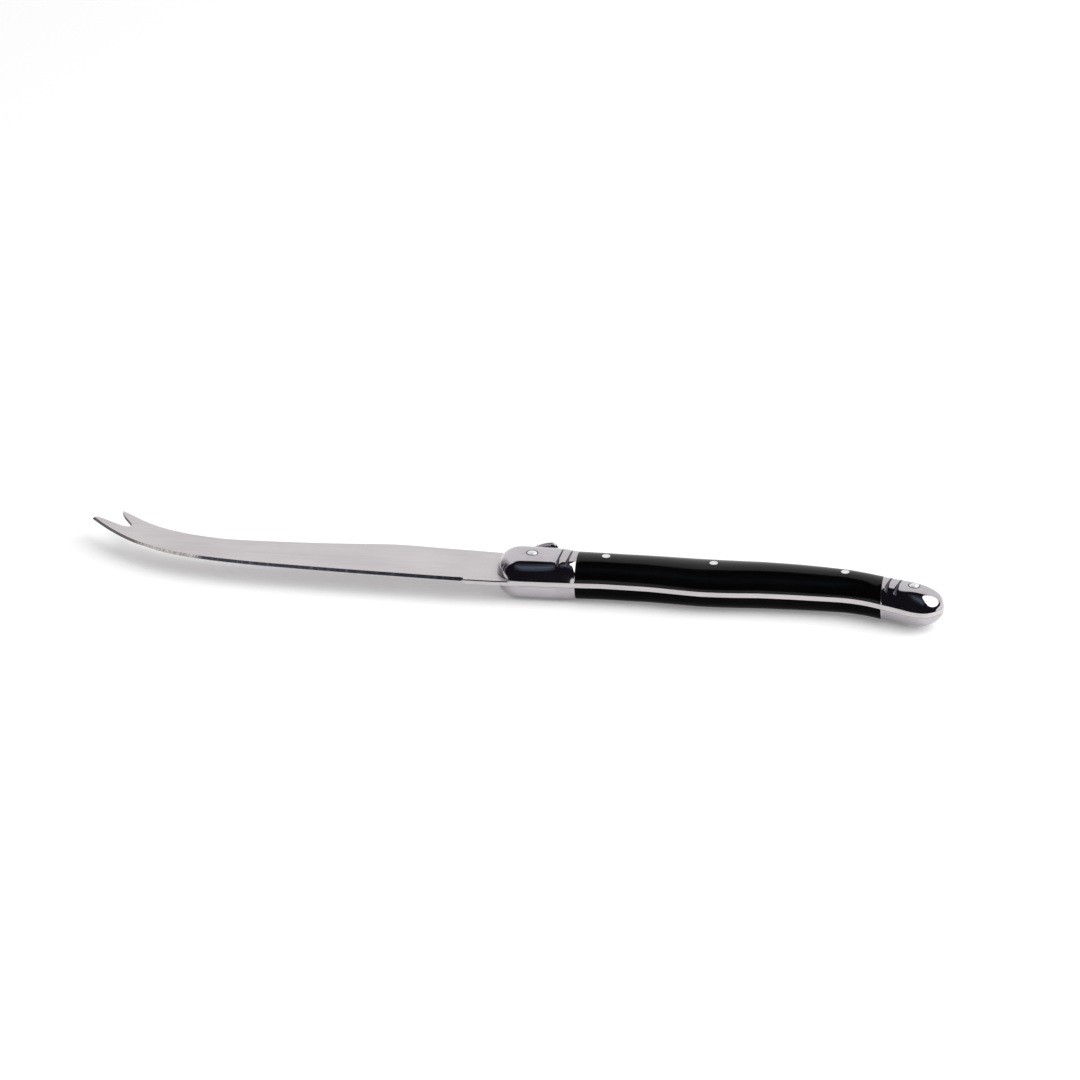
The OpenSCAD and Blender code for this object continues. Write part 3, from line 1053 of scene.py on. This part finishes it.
@dataclass
class Bolsters:
    """Two steel bolster halves at one end of the handle, with a rivet's recess and two grooves.

    The squares and the draft of a section follow its distance from the joint. The seams say how far
    painted shade reaches past the faces of the tang, above and below.
    """

    form: HandleForm
    end: End
    rivet_x: float
    square: tuple
    spine_square: tuple = ((0, 2.4), (2, 3.0), (21.5, 3.2))
    draft: tuple = ((0, 0.1), (1.5, 0.2), (5, 0.23), (21.5, 0.2))
    end_steps: int = 24
    joint_steps: int = 22
    joint_run: float = 5.6
    joint_land: float = 0.5
    recess_r: float = 1.62
    recess_depth: float = 0.35
    rivet_hole_r: float = 1.37
    edge_r: float = 0.4
    seams: tuple = (0.0, 0.1)
    groove_places: tuple = (2.0, 4.6)
    groove_across: tuple = (-6.0, 2.8, 6.9)
    groove_drops: tuple = (-0.03, -0.04, 1.0)
    groove_radii: tuple = (0.22, 0.3, 0.8)
    groove_slant: float = 0.09
    smooth_deg: float = 32.0

    @property
    def name(self) -> str:
        """Front or rear, for the names of the pieces."""
        return "front_bolster" if self.end is End.NOSE else "rear_bolster"

    @property
    def joint_x(self) -> float:
        """Place of the joint with the scales."""
        return self.form.front_joint_x if self.end is End.NOSE else self.form.rear_joint_x

    @property
    def end_x(self) -> float:
        """Place of the rounded end."""
        land = self.end.value * self.form.end_land
        return (self.form.nose_x if self.end is End.NOSE else self.form.butt_x) + land

    def section(self, x: float) -> Section:
        """Cross-section at a place, by its distance from the joint."""
        return self.form.section(abs(x - self.joint_x), self.square, self.spine_square, self.draft)

    def section_below(self, x: float) -> Section:
        """Cross-section of the lower half, whose belly's side is as plain as its spine's side."""
        plain = (self.spine_square, self.spine_square, self.draft)
        return self.form.section(abs(x - self.joint_x), *plain)

    def places(self) -> list:
        """Spaces the sections: closer where the end is rounded, even ahead of the rim at the joint.

        Returns:
            Their places.
        """
        turn = self.joint_x - self.end.value * self.joint_run
        at_end = [
            self.end_x + (turn - self.end_x) * (1 - math.cos(math.pi / 2 * k / self.end_steps))
            for k in range(self.end_steps)
        ]
        last = self.joint_x - self.end.value * self.joint_land
        at_joint = [turn + (last - turn) * k / self.joint_steps for k in range(self.joint_steps + 1)]
        return at_end + at_joint + [self.joint_x]

    def build(self) -> list:
        """Makes the upper half and a plainer lower half, and cuts both.

        Returns:
            The two halves.
        """
        form = self.form
        upper = Shell(form).loft(self.name + "_polished_upper", self.places(), self.section)
        plain = Shell(form).loft("plain_half", self.places(), self.section_below)
        for half in (upper, plain):
            Shape.round_end(half, self.joint_x, form.seat_z, self.edge_r)
        lower = Shape.mirrored(plain, self.name + "_polished_lower", form.mid_z)
        bpy.data.objects.remove(plain)
        self.dress([upper, lower])
        for half, side in ((upper, Side.UPPER), (lower, Side.LOWER)):
            self._cut(half, side)
            Shape.smooth(half, self.smooth_deg)
        return [upper, lower]

    def _cut(self, half: Object, side: Side) -> None:
        """Cuts the grooves, the rivet's recess and its hole.

        Args:
            half: The bolster half.
            side: The face of the tang that it lies on.
        """
        form = self.form

        def height(z: float) -> float:
            """Height of a place of the upper half on this side."""
            return z if side is Side.UPPER else 2 * form.mid_z - z

        for setback in self.groove_places:
            x = self.joint_x - self.end.value * setback
            places = []
            for across, drop in zip(self.groove_across, self.groove_drops):
                z = height(form.crest_z(x) - drop)
                places.append(Vector((x - across * self.groove_slant, form.centre_y(x) - across, z)))
            spans = (0, 1) if side is Side.UPPER else (0,)  # below, a groove stops at the crest
            for k in spans:
                groove = Cutters.groove(places[k], places[k + 1], self.groove_radii[k : k + 2])
                for material in half.data.materials:
                    groove.data.materials.append(material)
                for face in groove.data.polygons:
                    face.material_index = 1  # the second finish
                Shape.combine(half, groove, Join.CUT)
        top, y = form.crest_z(self.rivet_x), form.centre_y(self.rivet_x)
        through = top - form.mid_z + OVERRUN
        for radius, depth in ((self.recess_r, self.recess_depth), (self.rivet_hole_r, through)):
            low, high = sorted((height(top - depth), height(top + OVERRUN)))
            drill = Cutters.drill(self.rivet_x, y, low, high, radius)
            Shape.combine(half, drill, Join.CUT)

    def dress(self, pieces: list) -> None:
        """Gives both halves their polish, and a second finish that the cuts of the grooves take on.

        Args:
            pieces: The upper and the lower half.
        """
        for piece, seam in zip(pieces, self.seams):
            # the seam adds a band of painted shade along the face of the tang
            MirrorSteel(seam_reach=(self.form.sheet / 2 + seam) * MM).dress(piece)
            piece.data.materials.append(TarnishedSteel().make())


@dataclass
class SpineTab:
    """The small raised tab on the spine: a plate that climbs and curls down, on a narrow neck."""

    form: HandleForm
    end_x: float = -47.1
    length: float = 8.4
    high: float = 3.6
    low: float = 0.9
    width: float = 7.9
    low_width: float = 4.8
    ramp_steps: int = 10
    plate: float = 0.7
    curl_r: float = 1.5
    curl_steps: int = 9
    curl_deg: float = 100.0
    curl_narrows: float = 0.965
    neck_top: float = 6.6
    neck_foot: float = 2.0
    sunk: float = 2.0
    slot_size: tuple = (16.8, 6.0)
    slot_play: float = 0.1
    edge_r: float = 0.14
    edge_deg: float = 50.0
    edge_segments: int = 3
    smooth_deg: float = 40.0

    def build(self, upper: Object) -> Object:
        """Makes the tab and cuts its seat with copies of the bolster.

        Args:
            upper: The upper half of the bolster that it sits on.

        Returns:
            The tab.
        """
        tab = self._make_plate()
        Shape.combine(tab, self._make_neck(), Join.ADD)
        below = Shape.mirrored(upper, "seat_below", self.form.mid_z)
        Shape.pick(upper)
        bpy.ops.object.duplicate(linked=False)
        for seat in (bpy.context.object, below):
            Shape.combine(tab, seat, Join.CUT)
        base = self.form.spine_y(self.end_x)
        long, deep = self.slot_size
        middle = (self.end_x - self.length / 2, base - deep / 2, self.form.mid_z)
        slot = Cutters.block("slot", middle, (long, deep, self.form.sheet + 2 * self.slot_play))
        Shape.combine(tab, slot, Join.CUT)
        Shape.smooth(tab, self.smooth_deg)
        return tab

    def _make_plate(self) -> Object:
        """Extrudes the plate up its ramp and curls its end down to the spine.

        Returns:
            The plate.
        """
        mid = self.form.mid_z
        base = self.form.spine_y(self.end_x)
        low_x, turn_x = self.end_x - self.length, self.end_x - self.curl_r
        step = (turn_x - low_x) / self.ramp_steps
        start_x = low_x + step / 2
        middle = (start_x, base + self.low - self.plate / 2, mid)
        plate = Cutters.block("spine_tab", middle, (step, self.plate, self.low_width))
        Shape.select_vertices(plate, lambda co: co.x > start_x * MM)
        height, width = self.low, self.low_width
        for k in range(1, self.ramp_steps + 1):
            ease = math.sin(math.pi / 2 * k / self.ramp_steps)
            up = self.low + (self.high - self.low) * ease - height
            wider = self.low_width + (self.width - self.low_width) * ease
            if k > 1:
                bpy.ops.mesh.extrude_region_move()
                Shape.shift(step, 0)
            Shape.shift(0, up)
            self._resize_end(wider / width, mid)
            height, width = height + up, wider
        knob = (turn_x * MM, (base + self.high - self.curl_r) * MM, mid * MM)
        for _ in range(self.curl_steps):
            bpy.ops.mesh.extrude_region_move()
            bpy.ops.transform.rotate(
                value=math.radians(self.curl_deg / self.curl_steps),
                orient_axis="Z",
                orient_type="GLOBAL",
                center_override=knob,
            )
            self._resize_end(self.curl_narrows, mid)
        bpy.ops.mesh.extrude_region_move()
        Shape.shift(0, -self.sunk)
        bpy.ops.object.mode_set(mode="OBJECT")
        Shape.tidy(plate)
        Shape.round_sharp(plate, self.edge_deg, self.edge_r, self.edge_segments)
        return plate

    @staticmethod
    def _resize_end(factor: float, mid_z: float) -> None:
        """Widens or narrows the selected end of the plate across the spine."""
        Shape.stretch((1, 1, factor), (0, 0, mid_z * MM))

    def _make_neck(self) -> Object:
        """Makes the neck under the plate, narrower towards the spine.

        Returns:
            The neck.
        """
        base = self.form.spine_y(self.end_x)
        tall = self.high + self.sunk - self.plate / 2
        long = self.length - self.curl_r
        middle_x = self.end_x - self.curl_r / 2 - long / 2
        middle = (middle_x, base - self.sunk + tall / 2, self.form.mid_z)
        neck = Cutters.block("neck", middle, (long, tall, self.neck_top))
        centre = (middle_x * MM, (base - self.sunk) * MM, self.form.mid_z * MM)
        Shape.select_vertices(neck, lambda co: co.y < base * MM)
        Shape.stretch((1, 1, self.neck_foot / self.neck_top), centre)
        Shape.select_vertices(neck, lambda co: co.y > base * MM and co.x < middle_x * MM)
        Shape.shift(0, self.low - self.high)
        Shape.stretch((1, 1, self.low_width / self.width), centre)
        bpy.ops.object.mode_set(mode="OBJECT")
        return neck

    def dress(self, tab: Object) -> None:
        """Gives the tab its polish."""
        MirrorSteel(name="tab_steel").dress(tab)


@dataclass
class Steel:
    """The CAD blade with its tang, the rivets and the pins, which keep their solids."""

    nodes: dict
    pins: tuple = ("front_rivet", "rear_rivet", "scale_pin_front", "scale_pin_middle", "scale_pin_rear")

    def dress(self) -> None:
        """Gives the blade satin steel, and the rivets and pins bright steel."""
        SatinSteel().dress(self.nodes["blade"])
        for name in self.pins:
            BrightSteel().dress(self.nodes[name])


@dataclass
class Studio:
    """Floor, camera, lamp and the room that the polished steel reflects."""

    floor_half: float = 6.0
    camera_place: tuple = (0.21342, -1.87964, 0.94119)
    camera_turn_deg: tuple = (64.0, 0.0, 8.0)
    lens: float = 266.67
    sensor: float = 36.0
    key_direction: tuple = (0.7, -0.05, 0.71)
    key_distance: float = 1.1
    key_radius: float = 0.72
    key_power: float = 14.0
    room_level: float = 0.55
    dark_colour: tuple = (0.011, 0.010, 0.014)
    side_colour: tuple = (0.34, 0.34, 0.38)
    band_colour: tuple = (0.05, 0.05, 0.065)
    strip_colour: tuple = (0.12, 0.15, 0.2)
    strip_direction: tuple = (0.0, -0.5, 0.87)
    strip_edge: tuple = (0.86, 1.0)
    strip_cells: tuple = (2.5, 2.0)
    strip_patches: tuple = (0.25, 0.7)
    band_cells: tuple = (2.0, 0.0)
    band_stretch: tuple = (0.4, 3.0, 0.6)
    band_edge: tuple = (0.42, 0.58)
    side_x: tuple = (-0.9, -0.5)
    split_deg: float = 66.0
    split_lean: float = 0.4
    split_blur: float = 0.05
    nose_lift: float = 0.35
    nose_x: tuple = (-0.75, 0.0)
    nose_y: tuple = (-0.35, 0.05)
    view_reach: float = 50.0

    def build(self) -> None:
        """Makes floor, camera, lamp and world."""
        self._make_floor()
        self._make_camera()
        self._make_key()
        self._make_world()

    def _make_floor(self) -> None:
        """One large plane at the height that the knife rests on."""
        Shape.clear()
        bpy.ops.mesh.primitive_plane_add(size=2 * self.floor_half, location=(0, 0, 0))
        floor = bpy.context.object
        floor.name = "floor"
        PaleFloor().dress(floor)

    def _make_camera(self) -> None:
        """Camera at the viewing angle of the photograph."""
        bpy.ops.object.camera_add(
            location=self.camera_place, rotation=[math.radians(a) for a in self.camera_turn_deg]
        )
        camera = bpy.context.object
        camera.data.sensor_width = self.sensor
        camera.data.lens = self.lens
        camera.data.clip_end = self.view_reach
        bpy.context.scene.camera = camera

    def _make_key(self) -> None:
        """One round softbox beside the butt."""
        direction = Vector(self.key_direction).normalized()
        bpy.ops.object.light_add(type="AREA", location=direction * self.key_distance)
        lamp = bpy.context.object
        lamp.name = "round_softbox"
        lamp.rotation_euler = direction.to_track_quat("Z", "Y").to_euler()
        lamp.data.shape = "DISK"
        lamp.data.size = 2 * self.key_radius
        lamp.data.energy = self.key_power

    def _make_world(self) -> None:
        """Even light, and for reflections a white wall behind, banded at the nose, and dark ahead."""
        scene = bpy.context.scene
        scene.view_settings.view_transform = "Standard"
        world = bpy.data.worlds.new("studio_room")
        scene.world = world
        world.use_nodes = True
        graph = Graph(world.node_tree)
        rays = graph.add("ShaderNodeLightPath", {}, {}).outputs
        polished = Value(graph, rays["Is Glossy Ray"]) + Value(graph, rays["Is Transmission Ray"])
        direction = graph.add("ShaderNodeTexCoord", {}, {}).outputs["Generated"]
        along, across = graph.part(direction, "X"), graph.part(direction, "Y")
        split = math.radians(self.split_deg)
        behind = (across - along * self.split_lean) * math.sin(split)
        behind = behind - graph.part(direction, "Z") * math.cos(split)
        nose_side = (1.0 - along.step(*self.nose_x)) * across.step(*self.nose_y)
        behind = behind + nose_side * self.nose_lift
        strip_way = Vector(self.strip_direction).normalized()
        operation = {"operation": "DOT_PRODUCT"}
        toward = graph.add("ShaderNodeVectorMath", operation, {0: direction, 1: strip_way})
        cloud = graph.noise(direction, *self.strip_cells).step(*self.strip_patches)
        strip = Value(graph, toward.outputs["Value"]).step(*self.strip_edge) * cloud
        dark = graph.blend(strip, self.dark_colour, self.strip_colour)
        bands = graph.noise(graph.scaled(direction, self.band_stretch), *self.band_cells)
        wall = graph.blend(bands.step(*self.band_edge), self.band_colour, self.side_colour)
        backdrop = graph.blend(along.step(*self.side_x), wall, WHITE)
        room = graph.blend(behind.step(-self.split_blur, self.split_blur), dark, backdrop)
        plain = graph.blend(Value(graph, rays["Is Camera Ray"]), (self.room_level,) * 3, WHITE)
        seen = graph.blend(polished.step(0.0, 1.0), plain, room)
        shine = graph.add("ShaderNodeBackground", {}, {"Color": seen})
        graph.add("ShaderNodeOutputWorld", {}, {"Surface": shine.outputs[0]})


def place_piece(piece: Object, node: str) -> None:
    """Rides a piece on the root body in place of a CAD node and reports it.

    Args:
        piece: The finished piece.
        node: The CAD node that it stands for.
    """
    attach(piece, "root")
    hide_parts(node)
    LOG.info("%s stands for %s: %d faces", piece.name, node, len(piece.data.polygons))


def main() -> None:
    """Builds and dresses every piece of the knife around the CAD frame."""
    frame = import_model()
    form = HandleForm()
    Studio().build()
    scales = Scales(form)
    scale_pieces = scales.build()
    scales.dress(scale_pieces)
    for piece, node in zip(scale_pieces, ("scale_upper", "scale_lower")):
        place_piece(piece, node)
    front = Bolsters(
        form,
        End.NOSE,
        rivet_x=-52.8,
        square=(
            (0, 2.4), (0.5, 3.1), (1.0, 3.9), (1.7, 4.9), (2.4, 5.6), (3.8, 5.6), (4.8, 4.6), (5.6, 3.7),
            (9, 3.5), (21.5, 3.2),
        ),
        spine_square=((0, 2.4), (2, 3.2), (4, 4.0), (8, 4.6), (16, 4.6), (21.5, 4.2)),
        groove_across=(-3.8, 2.8, 6.9),
        groove_drops=(-0.12, -0.04, 1.0),
    )
    rear = Bolsters(
        form,
        End.BUTT,
        rivet_x=49.0,
        square=((0, 2.4), (0.8, 3.1), (1.8, 4.0), (5, 4.0), (9, 3.5), (16.5, 2.6)),
        spine_square=((0, 2.4), (2, 2.7), (16.5, 2.6)),
        draft=((0, 0.17), (1.0, 0.28), (16.5, 0.28)),
        edge_r=0.08,
        seams=(0.08, 0.06),
        groove_across=(-5.0, 1.2, 5.3),
        groove_drops=(-0.03, -0.04, 1.15),
        groove_radii=(0.22, 0.3, 1.0),
        groove_slant=0.2,
    )
    front_pieces = front.build()
    tab_maker = SpineTab(form)
    tab = tab_maker.build(front_pieces[0])
    tab_maker.dress(tab)
    place_piece(tab, "spine_catch")
    rear_pieces = rear.build()
    for pieces, node in ((front_pieces, "front_bolster"), (rear_pieces, "rear_bolster")):
        for piece, half in zip(pieces, ("upper", "lower")):
            place_piece(piece, node + "_" + half)
    Steel(frame["nodes"]).dress()
    LOG.info("The blade, two rivets and three pins keep their solids")


if __name__ == "__main__":
    main()
